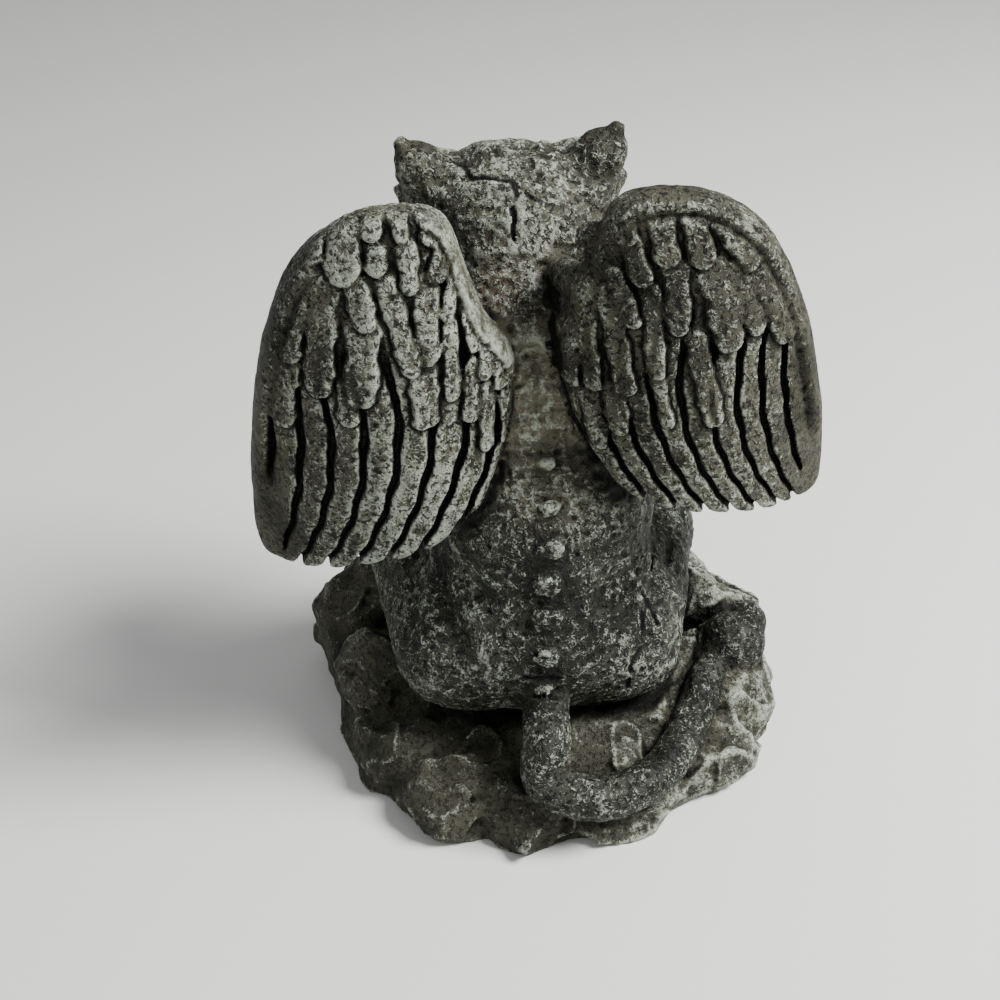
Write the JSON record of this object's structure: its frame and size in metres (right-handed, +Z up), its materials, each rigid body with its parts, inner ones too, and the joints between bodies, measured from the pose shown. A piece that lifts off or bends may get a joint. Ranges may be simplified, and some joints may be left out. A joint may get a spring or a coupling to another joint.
{
  "type": "gargoyle statue",
  "caption": "Small seated gargoyle with folded feathered wings, short horns and a curled tail, cast in one piece with its rock base.",
  "frame": {"origin": "middle of the bounding box, on the flat underside of the rock base", "axes": "+Z up, the figure looks towards -Y, its left hand is on the +X side"},
  "size_m": [0.1014, 0.0874, 0.1161],
  "materials": {
    "cast_stone": "matt cast stone, dark wash with pale dry-brushed edges"
  },
  "bodies": {
    "root": {"gargoyle_statue": "cast_stone"}
  },
  "joints": []
}
